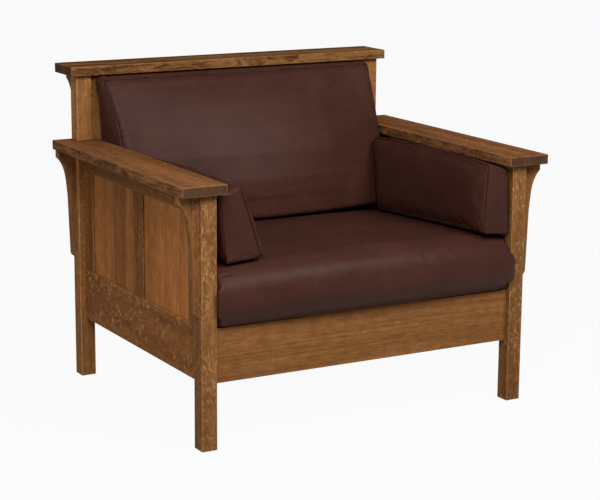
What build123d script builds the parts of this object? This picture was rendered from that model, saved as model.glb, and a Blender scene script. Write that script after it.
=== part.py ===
from build123d import *
import os
from math import cos, radians, sin, sqrt, tan

# Mission armchair: a fixed frame-and-panel body of quarter-sawn oak and four loose
# leather cushions. Millimetres, +Z up, the front faces -Y, and the origin is on the
# floor under the middle of the whole chair.

# Frame, over the outer faces of its four legs
frame_width = 968.0
frame_depth = 808.0
leg_size = 43.0
arm_underside = 650.0
crest_underside = 855.0

# Boards and rails
board_thickness = 26.0
rail_thickness = 19.0
rail_bottom = 168.5
rail_height = 141.0
rail_setback = 15.0
side_upper_height = 60.0
back_upper_height = 62.0
edge_ease = 2.0

# Arms and crest, beyond the legs
arm_overhang_out = 57.5
arm_overhang_in = 21.0
arm_overhang_front = 17.0
crest_overhang_side = 19.5
crest_overhang_front = 13.0
crest_overhang_back = 65.0

# Panelled walls
upright_width = 62.0
panel_thickness = 8.0
groove_depth = 8.0
side_panel_count = 2
back_panel_count = 3

# Corbels
corbel_thickness = 19.0
arm_corbel_reach = 54.0
arm_corbel_drop = 306.0
arm_corbel_tip = 20.0
arm_corbel_shank = 21.0
arm_corbel_foot = 15.5
arm_corbel_curve = 128.0
crest_corbel_reach = 61.0
crest_corbel_drop = 180.0
crest_corbel_tip = 18.0
crest_corbel_shank = 17.0
crest_corbel_foot = 11.0
crest_corbel_curve = 96.0
corbel_ease = 1.5

# Joinery
tenon_thickness = 9.0
tenon_shoulder = 12.0
tenon_spacing = 1.5
top_tenon_size = 24.0
top_tenon_height = 14.0
glue_gap = 0.15
panel_play = 0.15
panel_edge_gap = 1.5
tongue_end_gap = 0.5
notch_gap = 0.2

# Seat deck, raked back
deck_rake = 3.2
slat_count = 9
slat_width = 62.0
slat_thickness = 15.0
deck_end_gap = 4.0
slat_side_gap = 0.5
cleat_size = 25.0
bearer_thickness = 25.0
bearer_height = 45.0
housing_depth = 6.0

# Corner blocks
block_reach = 90.0
block_height = 35.0
block_drop = 2.0

# Screws
screw_radius = 2.0
head_radius = 4.2
head_height = 3.0
screw_gap = 0.1
slat_screw_length = 30.0
cleat_screw_length = 38.0
block_screw_length = 40.0
block_screw_share = 0.52
pocket_screw_length = 38.0
pocket_screw_seat = 18.0
pocket_angle = 15.0
arm_screw_count = 3
crest_screw_count = 4
screw_end_share = 0.12

# Cushions: leather cover and the room between cover, core and neighbours
leather_thickness = 2.0
core_gap = 0.4
cushion_gap = 0.5

# Seat cushion, thicknesses above the deck and reaches ahead of the legs
seat_thickness = 171.0
seat_edge_thickness = 150.0
seat_nose_reach = 42.0
seat_nose_edge_reach = 18.0
seat_nose_foot = 8.0
seat_nose_top = 40.0
seat_nose_edge_top = 26.0
seat_crown_start = 330.0
seat_nose_top_share = 0.965
seat_seam_round = 12.0
seat_end_round = 7.0

# Back cushion, depths ahead of the back panels
back_top_depth = 60.0
back_top_drop = 3.0
back_foot_depth = 200.0
back_foot_crown = 75.0
back_top_crown = 8.0
back_middle_crown = 10.0
back_face_bow = 33.0
back_side_gap = 12.0
back_arm_gap = 1.5
back_side_bow = 4.0
back_seam_round = 5.0
back_foot_round = 16.0
back_top_round = 7.0

# Bolsters, drawn on the right and measured inwards from the side walls
bolster_back_gap = 1.0
bolster_front_rise = 10.0
bolster_back_rise = 4.0
bolster_top_crown = 13.0
bolster_top_fall_share = 0.36
bolster_side_bow = 3.5
bolster_face_bow = 7.0
bolster_top_bow = 2.0
bolster_seam_round = 5.0
bolster_end_round = 5.0

# Each bolster lies a little differently: setback behind the leg's face, outset from the
# side wall and width, at its base and at its top
right_bolster_setback = 4.0
right_bolster_outset = 10.2
right_bolster_base = 89.0
right_bolster_top_outset = 18.0
right_bolster_top = 67.0
left_bolster_setback = 22.0
left_bolster_outset = 47.0
left_bolster_base = 110.0
left_bolster_top_outset = 26.0
left_bolster_top = 61.0

# Shapes of the crowns, and where the cushion sections lie
crown_power = 2.5
seat_station_shares = (0.0, 0.22, 0.42, 0.6, 0.75, 0.87, 0.95)
back_station_shares = (0.12, 0.28, 0.46, 0.64, 0.8, 0.9)
bolster_station_shares = (0.15, 0.5, 0.85)
bolster_touch_share = 0.5
face_sample_count = 6
face_sample_share = 0.55
round_station_shares = (0.0, 0.12, 0.4, 1.0)
corbel_curve_shares = ((0.44, 0.24), (0.18, 0.52))

# Places worked out from the sizes above
half_width = frame_width / 2
leg_inner = half_width - leg_size
rail_top = rail_bottom + rail_height
wall_outer = half_width - rail_setback
wall_inner = wall_outer - rail_thickness
apron_depth = rail_setback + rail_thickness
back_setback = (leg_size - rail_thickness) / 2
rake = radians(deck_rake)
nose_height = seat_thickness / 2
nose_ahead = (apron_depth + seat_nose_reach) * cos(rake) - nose_height * sin(rake) - apron_depth
leg_front = nose_ahead - (nose_ahead + frame_depth + crest_overhang_back) / 2
leg_back = leg_front + leg_size
post_back = leg_front + frame_depth
post_front = post_back - leg_size
apron_back = leg_front + apron_depth
back_face = post_front + back_setback
wall_depth = post_front - leg_back
tenon_length = leg_size - rail_setback - (rail_thickness + tenon_thickness) / 2 - tenon_spacing
overrun = leg_size

deck = Pos(0, apron_back, rail_top) * Rot(-deck_rake, 0, 0)


def block(x, y, z):
    """Box between the low and high value given along each axis."""
    size = Box(x[1] - x[0], y[1] - y[0], z[1] - z[0])
    return Pos((x[0] + x[1]) / 2, (y[0] + y[1]) / 2, (z[0] + z[1]) / 2) * size


def grown(ranges, gap):
    """The same low and high values with a gap added on every side."""
    return [(low - gap, high + gap) for low, high in ranges]


def middle(low, high, size):
    """Low and high value of a size centred between two others."""
    centre = (low + high) / 2
    return (centre - size / 2, centre + size / 2)


def eased(body, axis):
    """Round the long edges of a board that runs along the axis."""
    return fillet(body.edges().filter_by(axis), edge_ease)


def mirrored(body):
    """The same piece on the left side."""
    return mirror(body, Plane.YZ)


# Tenons, as low and high values along X, Y and Z on the right side

rail_heights = {
    "lower": (rail_bottom, rail_top),
    "side_upper": (arm_underside - side_upper_height, arm_underside),
    "back_upper": (crest_underside - back_upper_height, crest_underside),
}


def tenon_height(name):
    low, high = rail_heights[name]
    return (low + tenon_shoulder, high - tenon_shoulder)


def cross_tenon(rail_front, name):
    """Right tenon of a rail that runs along X."""
    across = middle(rail_front, rail_front + rail_thickness, tenon_thickness)
    return [(leg_inner, leg_inner + tenon_length), across, tenon_height(name)]


def side_tenons(name):
    """Front and back tenon of a side rail on the right."""
    across = middle(wall_inner, wall_outer, tenon_thickness)
    height = tenon_height(name)
    front = [across, (leg_back - tenon_length, leg_back), height]
    back = [across, (post_front, post_front + tenon_length), height]
    return front, back


apron_front = leg_front + rail_setback
front_tenons = [cross_tenon(apron_front, "lower")]
front_tenons += [side_tenons(name)[0] for name in ("lower", "side_upper")]
back_tenons = [cross_tenon(back_face, name) for name in ("lower", "back_upper")]
back_tenons += [side_tenons(name)[1] for name in ("lower", "side_upper")]


def top_tenon(front, top):
    """Stub tenon on top of a leg."""
    across = middle(leg_inner, half_width, top_tenon_size)
    along = middle(front, front + leg_size, top_tenon_size)
    return [across, along, (top, top + top_tenon_height)]


def make_leg(front, top, tenons):
    """Square leg with its stub tenon and the mortises of its rails."""
    body = block((leg_inner, half_width), (front, front + leg_size), (0, top))
    body = fillet(body.edges().filter_by(Axis.Z) + body.faces().sort_by(Axis.Z)[0].edges(), edge_ease)
    body += block(*top_tenon(front, top))
    for tenon in tenons:
        body -= block(*grown(tenon, glue_gap))
    return body


# Rails

def cross_rail(front, name):
    """Rail along X between two legs, with a tenon on each end."""
    body = block((-leg_inner, leg_inner), (front, front + rail_thickness), rail_heights[name])
    body = eased(body, Axis.X)
    tenon = block(*cross_tenon(front, name))
    return body + tenon + mirrored(tenon)


def side_rail(name):
    """Rail along Y between leg and post on the right, with a tenon on each end."""
    body = eased(block((wall_inner, wall_outer), (leg_back, post_front), rail_heights[name]), Axis.Y)
    for tenon in side_tenons(name):
        body += block(*tenon)
    return body


# Panelled walls, drawn along X from zero and centred on Y, then placed

def wall_groove(start, end, bottom, top):
    """Slot that a panel edge or a tongue stands in."""
    slot = panel_thickness / 2 + panel_play
    return block((start, end), (-slot, slot), (bottom, top))


def upright(start, bottom, top, groove_left, groove_right):
    """Stile or mullion with a tongue on each end and panel grooves in its edges."""
    end = start + upright_width
    half_rail = rail_thickness / 2
    half_panel = panel_thickness / 2
    reach = groove_depth - tongue_end_gap
    body = eased(block((start, end), (-half_rail, half_rail), (bottom, top)), Axis.Z)
    inset = edge_ease
    body += block((start + inset, end - inset), (-half_panel, half_panel), (bottom - reach, top + reach))
    low, high = bottom - groove_depth, top + groove_depth
    if groove_left:
        body -= wall_groove(start - groove_depth, start + groove_depth, low, high)
    if groove_right:
        body -= wall_groove(end - groove_depth, end + groove_depth, low, high)
    return body


def make_wall(width, bottom, top, count):
    """Uprights and panels of one wall, left to right as drawn."""
    opening = (width - (count + 1) * upright_width) / count
    pitch = opening + upright_width
    uprights = [upright(i * pitch, bottom, top, i > 0, i < count) for i in range(count + 1)]
    reach = groove_depth - panel_edge_gap
    half_panel = panel_thickness / 2
    panels = []
    for i in range(count):
        start = i * pitch + upright_width
        panels.append(block((start - reach, start + opening + reach), (-half_panel, half_panel),
                            (bottom - reach, top + reach)))
    return uprights, panels


def rail_grooves(width, bottom, top):
    """Slots along the two rails of a wall."""
    return wall_groove(0, width, bottom - groove_depth, bottom) + wall_groove(0, width, top, top + groove_depth)


side_place = Pos((wall_inner + wall_outer) / 2, leg_back, 0) * Rot(0, 0, 90)
side_top = arm_underside - side_upper_height
side_uprights, side_panels = make_wall(wall_depth, rail_top, side_top, side_panel_count)
side_slots = side_place * rail_grooves(wall_depth, rail_top, side_top)

back_place = Pos(-leg_inner, back_face + rail_thickness / 2, 0)
back_top = crest_underside - back_upper_height
back_uprights, back_panels = make_wall(2 * leg_inner, rail_top, back_top, back_panel_count)
back_slots = back_place * rail_grooves(2 * leg_inner, rail_top, back_top)


# Screws, drawn with the head's top at zero and the point downwards

def screw(length):
    tip = screw_radius
    body = Pos(0, 0, -head_height / 2) * Cylinder(head_radius, head_height)
    body += Pos(0, 0, -(head_height + length - tip) / 2) * Cylinder(screw_radius, length - tip - head_height)
    return body + Pos(0, 0, tip / 2 - length) * Rot(180, 0, 0) * Cone(screw_radius, screw_radius / 4, tip)


def screw_hole(length, sink):
    """Hole for a screw, with the head's bore carried on upwards by the sink."""
    bore = head_height + screw_gap + sink
    depth = length + screw_gap
    hole = Pos(0, 0, bore / 2 - head_height - screw_gap) * Cylinder(head_radius + screw_gap, bore)
    return hole + Pos(0, 0, -depth / 2) * Cylinder(screw_radius + screw_gap, depth)


def spread(start, end, count):
    """Evenly spaced places, the first and last a share of the length from the ends."""
    inset = (end - start) * screw_end_share
    step = (end - start - 2 * inset) / (count - 1)
    return [start + inset + i * step for i in range(count)]


def pocket_place(x, y, top, turn):
    """Pocket screw through a rail's top edge, leaning in from the side that the turn names."""
    return Pos(x, y, top) * Rot(0, 0, turn) * Rot(0, pocket_angle, 0) * Rot(180, 0, 0)


def pocketed(places):
    """Screws and holes at the places, heads seated below the joint."""
    seat = Pos(0, 0, pocket_screw_seat)
    screws = [place * seat * screw(pocket_screw_length) for place in places]
    holes = [place * seat * screw_hole(pocket_screw_length, overrun) for place in places]
    return screws, holes


wall_middle = (wall_inner + wall_outer) / 2
arm_places = [pocket_place(wall_middle, y, arm_underside, 0)
              for y in spread(leg_back, post_front, arm_screw_count)]
arm_screws, arm_holes = pocketed(arm_places)
crest_places = [pocket_place(x, back_face + rail_thickness / 2, crest_underside, 90)
                for x in spread(-leg_inner, leg_inner, crest_screw_count)]
crest_screws, crest_holes = pocketed(crest_places)


# Corbels, drawn on X outwards and Z downwards from the top inner corner

def make_corbel(reach, drop, tip, shank, foot, curve):
    """Bracket with a square tip, a hollow curve, a long tapering shank and a round foot."""
    def spot(share_out, share_down):
        return (shank + (reach - shank) * share_out, -(tip + (curve - tip) * share_down))
    hollow = [(reach, -tip)] + [spot(*share) for share in corbel_curve_shares] + [(shank, -curve)]
    knee = (foot, foot - drop)
    bend = foot * (1 - sqrt(2) / 2)
    outline = Wire([
        Edge.make_line((0, 0), (reach, 0)),
        Edge.make_line((reach, 0), (reach, -tip)),
        Edge.make_spline(hollow),
        Edge.make_line((shank, -curve), knee),
        Edge.make_three_point_arc(knee, (foot - bend, foot - drop - foot * sqrt(2) / 2), (0, -drop)),
        Edge.make_line((0, -drop), (0, 0)),
    ])
    body = extrude(make_face(outline), corbel_thickness / 2, both=True)
    free = [edge for face in (body.faces().sort_by(Axis.Z)[0], body.faces().sort_by(Axis.Z)[-1])
            for edge in face.edges() if edge.center().X > edge_ease and edge.center().Y < -edge_ease]
    return Rot(90, 0, 0) * fillet(free, corbel_ease)


arm_corbel = make_corbel(arm_corbel_reach, arm_corbel_drop, arm_corbel_tip, arm_corbel_shank,
                         arm_corbel_foot, arm_corbel_curve)
crest_corbel = Rot(0, 0, 90) * make_corbel(crest_corbel_reach, crest_corbel_drop, crest_corbel_tip,
                                           crest_corbel_shank, crest_corbel_foot, crest_corbel_curve)


# Arms and crest rail

def make_arm():
    """Flat arm, mortised for the front leg and notched round the back post."""
    body = block((leg_inner - arm_overhang_in, half_width + arm_overhang_out),
                 (leg_front - arm_overhang_front, post_back),
                 (arm_underside, arm_underside + board_thickness))
    body = fillet(body.edges(), edge_ease)
    post = [(leg_inner, half_width), (post_front, post_back + overrun), (0, crest_underside)]
    wall = [(0, leg_inner), (back_face, post_back + overrun), (0, crest_underside)]
    body -= block(*grown(post, notch_gap)) + block(*grown(wall, notch_gap))
    body -= block(*grown(top_tenon(leg_front, arm_underside), glue_gap))
    for hole in arm_holes:
        body -= hole
    return body


def make_crest():
    """Wide flat board on top of the back posts."""
    side = half_width + crest_overhang_side
    body = block((-side, side), (post_front - crest_overhang_front, post_back + crest_overhang_back),
                 (crest_underside, crest_underside + board_thickness))
    body = fillet(body.edges(), edge_ease)
    mortise = block(*grown(top_tenon(post_front, crest_underside), glue_gap))
    body -= mortise + mirrored(mortise)
    for hole in crest_holes:
        body -= hole
    return body


# Seat deck: cleats on the lower side rails, slats across them and a bearer under their middle

deck_start = leg_size - apron_depth + deck_end_gap
deck_end = post_front - apron_back - deck_end_gap
slat_pitch = (deck_end - deck_start - slat_width) / (slat_count - 1)
slat_half = wall_inner - slat_side_gap
cleat_range = [(wall_inner - cleat_size, wall_inner), (deck_start, deck_end),
               (-slat_thickness - cleat_size, -slat_thickness)]
slat_starts = [deck_start + i * slat_pitch for i in range(slat_count)]
slat_screw_places = [deck * Pos(wall_inner - cleat_size / 2, start + slat_width / 2, 0)
                     for start in slat_starts]
cleat_middle = -slat_thickness - cleat_size / 2
slat_gap = slat_pitch - slat_width
cleat_screw_places = [deck * Pos(wall_inner - cleat_size, start - slat_gap / 2, cleat_middle) * Rot(0, -90, 0)
                      for start in slat_starts[1::2]]


def make_cleat():
    body = deck * block(*cleat_range)
    for place in cleat_screw_places:
        body -= place * screw_hole(cleat_screw_length, screw_gap)
    for place in slat_screw_places:
        body -= place * screw_hole(slat_screw_length, screw_gap)
    return body


def make_slats():
    """All cross slats, eased on their long edges."""
    slats = []
    for start, place in zip(slat_starts, slat_screw_places):
        body = block((-slat_half, slat_half), (start, start + slat_width), (-slat_thickness, 0))
        hole = place * screw_hole(slat_screw_length, screw_gap)
        slats.append(deck * eased(body, Axis.X) - hole - mirrored(hole))
    return slats


def bearer_body(gap):
    """Bearer along Y, cut upright where it is housed in the apron and the back rail."""
    long_bar = block((-bearer_thickness / 2, bearer_thickness / 2), (-overrun, frame_depth),
                     (-slat_thickness - bearer_height, -slat_thickness))
    ends = (apron_back - housing_depth - gap, back_face + housing_depth + gap)
    return (deck * long_bar) & block((-half_width, half_width), ends, (0, arm_underside))


def bearer_housing():
    """Room for the bearer's ends, with the glue gap all round."""
    bar = block((-bearer_thickness / 2 - glue_gap, bearer_thickness / 2 + glue_gap),
                (-overrun, frame_depth),
                (-slat_thickness - bearer_height - glue_gap, glue_gap - slat_thickness))
    ends = (apron_back - housing_depth - glue_gap, back_face + housing_depth + glue_gap)
    return (deck * bar) & block((-half_width, half_width), ends, (0, arm_underside))


# Corner blocks, below the cleats

def deck_height(y, above):
    """Height over the floor of a place above or below the raked deck."""
    return rail_top - (y - apron_back) * tan(rake) + above / cos(rake)


def block_top(y):
    return deck_height(y, -slat_thickness - cleat_size) - block_drop


front_corner = {"y": apron_back, "way": 1, "notch": leg_back, "top": block_top(apron_back + block_reach)}
back_corner = {"y": back_face, "way": -1, "notch": post_front, "top": block_top(back_face)}


def make_corner_block(corner):
    """Three-sided block across a corner, notched round the leg."""
    y, way, top = corner["y"], corner["way"], corner["top"]
    outline = Polyline((wall_inner, y), (wall_inner - block_reach, y), (wall_inner, y + way * block_reach),
                       close=True)
    body = Pos(0, 0, top - block_height) * extrude(make_face(outline), block_height, dir=(0, 0, 1))
    y_range = sorted((y - way * overrun, corner["notch"]))
    body -= block(*grown([(leg_inner, half_width), y_range, (0, arm_underside)], glue_gap))
    for place in block_screw_places(corner):
        body -= place * screw_hole(block_screw_length, overrun)
    return body


def block_screw_places(corner):
    """One screw into the side rail and one into the cross rail, heads sunk in the slanted face."""
    y, way = corner["y"], corner["way"]
    height = corner["top"] - block_height / 2
    along = block_reach * block_screw_share
    depth = (block_reach - along) / 2
    into_side = Pos(wall_inner - depth, y + way * along, height) * Rot(0, -90, 0)
    into_cross = Pos(wall_inner - along, y + way * depth, height) * Rot(way * 90, 0, 0)
    return [into_side, into_cross]


corners = (front_corner, back_corner)


# Cushions

def inset_corners(corners, gap):
    """Corner points moved so that each straight side between them lies further in by the gap."""
    count = len(corners)
    lines = []
    for i in range(count):
        (u0, v0), (u1, v1) = corners[i], corners[(i + 1) % count]
        length = sqrt((u1 - u0) ** 2 + (v1 - v0) ** 2)
        normal = ((v1 - v0) / length, (u0 - u1) / length)
        lines.append((normal, normal[0] * u0 + normal[1] * v0 - gap))
    moved = []
    for i in range(count):
        (a, b), p = lines[i - 1]
        (c, d), q = lines[i]
        cross = a * d - b * c
        moved.append(((p * d - b * q) / cross, (a * q - p * c) / cross))
    return moved


def cushion_section(corners, bows, inset, rounded, radius, place):
    """Closed flat outline: corners counter-clockwise, each side bowed outwards, some corners round."""
    points = inset_corners(corners, inset)
    edges = []
    for i, bow in enumerate(bows):
        (u0, v0), (u1, v1) = points[i], points[(i + 1) % len(points)]
        length = sqrt((u1 - u0) ** 2 + (v1 - v0) ** 2)
        if bow == 0:
            edges.append(Edge.make_line(place(u0, v0), place(u1, v1)))
            continue
        through = ((u0 + u1) / 2 + (v1 - v0) / length * bow, (v0 + v1) / 2 - (u1 - u0) / length * bow)
        edges.append(Edge.make_three_point_arc(place(u0, v0), place(*through), place(u1, v1)))
    flat = Face(Wire(edges))
    targets = [Vector(*place(*points[i])) for i in rounded]
    chosen = [min(flat.vertices(), key=lambda v: (v.center() - spot).length) for spot in targets]
    return flat.fillet_2d(radius, chosen)


def round_inset(distance, radius):
    """How far a rounded end has drawn in at a distance from that end."""
    if distance >= radius:
        return 0.0
    return radius - sqrt(radius ** 2 - (radius - max(distance, 0)) ** 2)


seat_half = leg_inner - cushion_gap


def crown(share):
    """Fullness of a cushion, from one in its middle to zero at its edge."""
    return 1 - abs(share) ** crown_power


def seat_height(x):
    """Thickness of the seat cushion at a place across the seat."""
    full = crown(min(abs(x) / seat_half, 1))
    return seat_edge_thickness + (seat_thickness - seat_edge_thickness) * full


def seat_section(x, skin):
    """Side view of the seat cushion at a place across the seat."""
    full = crown(min(abs(x) / seat_half, 1))
    inset = skin + round_inset(seat_half - skin - abs(x), seat_end_round)
    thickness = seat_height(x)
    reach = seat_nose_edge_reach + (seat_nose_reach - seat_nose_edge_reach) * full
    rear = back_face - apron_back - seat_thickness * sin(rake) - cushion_gap
    foot = seat_nose_foot - apron_depth
    top = seat_nose_edge_top + (seat_nose_top - seat_nose_edge_top) * full - apron_depth
    corners = [(rear, cushion_gap), (rear, thickness), (seat_crown_start - apron_depth, thickness),
               (top, thickness * seat_nose_top_share), (foot, cushion_gap)]
    nose_bow = apron_depth + reach + (foot + top) / 2
    crown_bow = thickness * (1 - seat_nose_top_share) / 4
    bows = [0, 0, crown_bow, nose_bow, 0]
    return cushion_section(corners, bows, inset, (0, 1), seat_seam_round, lambda u, v: (x, u, v))


def seat_body(skin):
    """Seat cushion, or what lies inside a skin of it."""
    stations = [share * seat_half for share in seat_station_shares]
    ends = [seat_half - skin - share * seat_end_round for share in reversed(round_station_shares)]
    right = stations + ends
    places = [-x for x in reversed(right[1:])] + right
    return deck * Solid.make_loft([seat_section(x, skin).outer_wire() for x in places], True)


def swell(share):
    """One halfway between two ends and zero at both."""
    return 4 * share * (1 - share)


def back_half(height_share):
    """Half the back cushion's width, drawn in between its foot and its top."""
    draw = arm_overhang_in + back_arm_gap + back_side_bow - back_side_gap
    return leg_inner - back_side_gap - draw * swell(height_share)


def back_front(height_share):
    """Place of the back cushion's front seam."""
    straight = back_foot_depth + (back_top_depth - back_foot_depth) * height_share
    return back_face - straight - back_face_bow * swell(height_share)


def back_bulge(height_share):
    """How far the middle of the back cushion's face stands ahead of its seam."""
    straight = back_foot_crown + (back_top_crown - back_foot_crown) * height_share
    return straight + back_middle_crown * swell(height_share)


def back_height(y, height_share):
    """Height of a section of the back cushion, raked at the foot and level at the top."""
    foot = deck_height(y, seat_thickness + cushion_gap)
    return foot + (crest_underside - back_top_drop - foot) * height_share


def back_section(height_share, inset):
    """Plan of the back cushion at a share of its height."""
    half = back_half(height_share)
    front = back_front(height_share)
    rear = back_face - cushion_gap
    corners = [(-half, rear), (-half, front), (half, front), (half, rear)]
    bows = [back_side_bow, back_bulge(height_share), back_side_bow, 0]
    return cushion_section(corners, bows, inset, (0, 1, 2, 3), back_seam_round,
                           lambda u, v: (u, v, back_height(v, height_share)))


def back_body(skin):
    """Back cushion, a wedge that stands on the seat cushion, or what lies inside a skin of it."""
    height = back_height(back_face, 1) - back_height(back_face, 0)
    low = [(skin + share * back_foot_round) / height for share in round_station_shares]
    high = [1 - (skin + share * back_top_round) / height for share in reversed(round_station_shares)]
    wires = []
    for share in low + list(back_station_shares) + high:
        foot_inset = round_inset(share * height - skin, back_foot_round)
        top_inset = round_inset((1 - share) * height - skin, back_top_round)
        wires.append(back_section(share, skin + foot_inset + top_inset).outer_wire())
    return Solid.make_loft(wires, True)


def face_spots(x):
    """Heights and places of the back cushion's face at a place across the seat."""
    spots = []
    for i in range(face_sample_count):
        share = face_sample_share * i / (face_sample_count - 1)
        y = back_front(share) - back_bulge(share) * (1 - (x / back_half(share)) ** 2)
        spots.append((back_height(y, share), y))
    return spots


right_bolster = {"setback": right_bolster_setback, "outset": right_bolster_outset,
                 "base": right_bolster_base, "top_outset": right_bolster_top_outset,
                 "top": right_bolster_top}
left_bolster = {"setback": left_bolster_setback, "outset": left_bolster_outset,
                "base": left_bolster_base, "top_outset": left_bolster_top_outset,
                "top": left_bolster_top}


def bolster_section(size, share, inset):
    """Section across a bolster: its front end is upright and its rear end leans with the back cushion."""
    outer = wall_inner - size["outset"]
    inner = outer - size["base"]
    top_outer = wall_inner - size["top_outset"]
    top_inner = top_outer - size["top"]
    touch = inner + (outer - inner) * bolster_touch_share
    fall = (seat_edge_thickness - seat_thickness) * crown_power * (touch / seat_half) ** (crown_power - 1)
    slope = fall / seat_half
    spots = face_spots(inner)
    (low, low_y), (high, high_y) = spots[0], spots[-1]
    lean = (high_y - low_y) / (high - low)
    rear = min(y - lean * (z - low) for z, y in spots) - bolster_back_gap
    front = leg_front + size["setback"]
    start = front + (rear - lean * low - front) * share
    lean = lean * share

    def bottom(x):
        above = seat_height(touch) + slope * (x - touch) + cushion_gap
        return (deck_height(start, above)) / (1 + lean * tan(rake))

    top = arm_underside + bolster_front_rise + (bolster_back_rise - bolster_front_rise) * share
    top_fall = bolster_top_fall_share * size["top"]
    crest = top + bolster_top_crown * swell(share)
    corners = [(inner, bottom(inner)), (outer, bottom(outer)), (top_outer, top - top_fall), (top_inner, crest)]
    bows = [0, bolster_side_bow, bolster_top_bow, bolster_face_bow]
    return cushion_section(corners, bows, inset, (0, 1, 2, 3), bolster_seam_round,
                           lambda u, v: (u, start + lean * v, v))


def bolster_body(size, skin):
    """Bolster on the right, or what lies inside a skin of it."""
    length = face_spots(wall_inner - size["outset"])[0][1] - leg_front - size["setback"]
    low = [(skin + share * bolster_end_round) / length for share in round_station_shares]
    high = [1 - share for share in reversed(low)]
    wires = []
    for share in low + list(bolster_station_shares) + high:
        inset = skin
        inset += round_inset(share * length - skin, bolster_end_round)
        inset += round_inset((1 - share) * length - skin, bolster_end_round)
        wires.append(bolster_section(size, share, inset).outer_wire())
    return Solid.make_loft(wires, True)


def cover_and_core(body):
    """Leather cover as a closed skin, and the foam core that fills it."""
    return body(0) - body(leather_thickness), body(leather_thickness + core_gap)


# All pieces by name

pieces = {}


def add_pair(name, body):
    """A piece on the right and its mirror image on the left."""
    pieces[name + "_right"] = body
    pieces[name + "_left"] = mirrored(body)


add_pair("front_leg", make_leg(leg_front, arm_underside, front_tenons))
add_pair("back_post", make_leg(post_front, crest_underside, back_tenons))

bearer_room = bearer_housing()
cleat_holes = [place * screw_hole(cleat_screw_length, screw_gap) for place in cleat_screw_places]
block_holes = {}
for corner in corners:
    block_holes[corner["y"]] = [place * screw_hole(block_screw_length, screw_gap)
                                for place in block_screw_places(corner)]

apron = cross_rail(apron_front, "lower") - bearer_room
lower_back = cross_rail(back_face, "lower") - bearer_room - back_slots
for rail, corner in ((apron, front_corner), (lower_back, back_corner)):
    hole = block_holes[corner["y"]][1]
    rail = rail - hole - mirrored(hole)
    name = "front_apron" if corner is front_corner else "back_lower_rail"
    pieces[name] = rail

upper_back = cross_rail(back_face, "back_upper") - back_slots
for hole in crest_holes:
    upper_back -= hole
pieces["back_upper_rail"] = upper_back

lower_side = side_rail("lower") - side_slots
for hole in cleat_holes + [block_holes[corner["y"]][0] for corner in corners]:
    lower_side -= hole
add_pair("side_lower_rail", lower_side)

upper_side = side_rail("side_upper") - side_slots
for hole in arm_holes:
    upper_side -= hole
add_pair("side_upper_rail", upper_side)

for name, body in zip(("side_front_stile", "side_mullion", "side_back_stile"), side_uprights):
    add_pair(name, side_place * body)
for name, body in zip(("side_front_panel", "side_back_panel"), side_panels):
    add_pair(name, side_place * body)
for name, body in zip(("back_stile_left", "back_mullion_left", "back_mullion_right", "back_stile_right"),
                      back_uprights):
    pieces[name] = back_place * body
for name, body in zip(("back_panel_left", "back_panel_middle", "back_panel_right"), back_panels):
    pieces[name] = back_place * body

add_pair("arm", make_arm())
add_pair("front_arm_corbel", Pos(half_width, leg_front + leg_size / 2, arm_underside) * arm_corbel)
add_pair("back_arm_corbel", Pos(half_width, post_front + leg_size / 2, arm_underside) * arm_corbel)
pieces["crest_rail"] = make_crest()
add_pair("crest_corbel", Pos(half_width - leg_size / 2, post_back, crest_underside) * crest_corbel)

add_pair("seat_cleat", make_cleat())
pieces["seat_bearer"] = bearer_body(0)
pieces["seat_slats"] = Compound(children=make_slats())
for name, corner in (("front_corner_block", front_corner), ("back_corner_block", back_corner)):
    add_pair(name, make_corner_block(corner))


def screw_group(places, length, both_sides=True):
    """All screws of one kind as separate solids."""
    right = [place * screw(length) for place in places]
    left = [mirrored(body) for body in right] if both_sides else []
    return Compound(children=right + left)


pieces["slat_screws"] = screw_group(slat_screw_places, slat_screw_length)
pieces["cleat_screws"] = screw_group(cleat_screw_places, cleat_screw_length)
block_places = [place for corner in corners for place in block_screw_places(corner)]
pieces["corner_block_screws"] = screw_group(block_places, block_screw_length)
pieces["arm_screws"] = Compound(children=arm_screws + [mirrored(body) for body in arm_screws])
pieces["crest_screws"] = Compound(children=crest_screws)

cushions = {
    "seat_cushion": seat_body,
    "back_cushion": back_body,
    "right_bolster": lambda skin: bolster_body(right_bolster, skin),
    "left_bolster": lambda skin: mirrored(bolster_body(left_bolster, skin)),
}
for name, body in cushions.items():
    pieces[name + "_cover"], pieces[name + "_core"] = cover_and_core(body)

os.makedirs("parts", exist_ok=True)
for name, body in pieces.items():
    export_step(body, "parts/" + name + ".step")
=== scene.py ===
import math
import bmesh
import bpy
import numpy as np
from mathutils import Matrix, Vector
from mathutils.bvhtree import BVHTree


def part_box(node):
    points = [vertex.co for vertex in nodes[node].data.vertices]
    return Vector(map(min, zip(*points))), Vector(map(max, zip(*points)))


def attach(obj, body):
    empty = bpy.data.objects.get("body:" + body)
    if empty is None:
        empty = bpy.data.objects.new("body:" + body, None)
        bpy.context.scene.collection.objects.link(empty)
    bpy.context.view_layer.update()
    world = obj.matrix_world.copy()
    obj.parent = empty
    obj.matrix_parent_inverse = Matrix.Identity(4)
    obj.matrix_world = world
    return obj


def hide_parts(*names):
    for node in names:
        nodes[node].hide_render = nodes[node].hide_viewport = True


# Mission armchair: quarter-sawn oak, frame and panel, with four loose leather cushions.
# Metres, in the part's own frame: +Z up, the chair faces -Y.

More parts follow.
